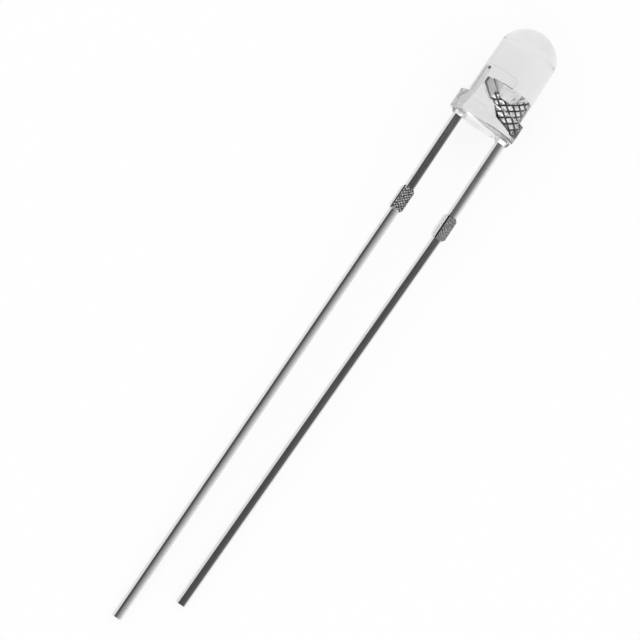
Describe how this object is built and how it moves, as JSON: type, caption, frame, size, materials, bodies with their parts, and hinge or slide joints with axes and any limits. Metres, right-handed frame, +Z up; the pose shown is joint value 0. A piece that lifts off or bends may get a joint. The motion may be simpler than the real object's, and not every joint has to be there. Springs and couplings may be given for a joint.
{
  "type": "through-hole led",
  "caption": "Clear round-topped LED with a flange and long square leads for through-hole soldering, each with a stand-off stop.",
  "frame": {"origin": "centre of the flange's underside, where the lens axis crosses it", "axes": "+X along the lens axis towards the dome, raised from it by about 3.2 degrees as the lamp lies; +Y towards the anode's side; +Z up"},
  "size_m": [0.0351, 0.0036, 0.0038],
  "materials": {
    "clear_epoxy": "clear, glossy",
    "tinned_frame": "bright tin, satin",
    "semiconductor": "polished crystal",
    "silver_glue": "matt silver paste",
    "gold_wire": "bright gold"
  },
  "bodies": {
    "root": {"lens_body": "clear_epoxy", "cathode_frame": "tinned_frame", "anode_frame": "tinned_frame", "led_die": "semiconductor", "die_attach": "silver_glue", "bond_wire": "gold_wire"}
  },
  "joints": []
}
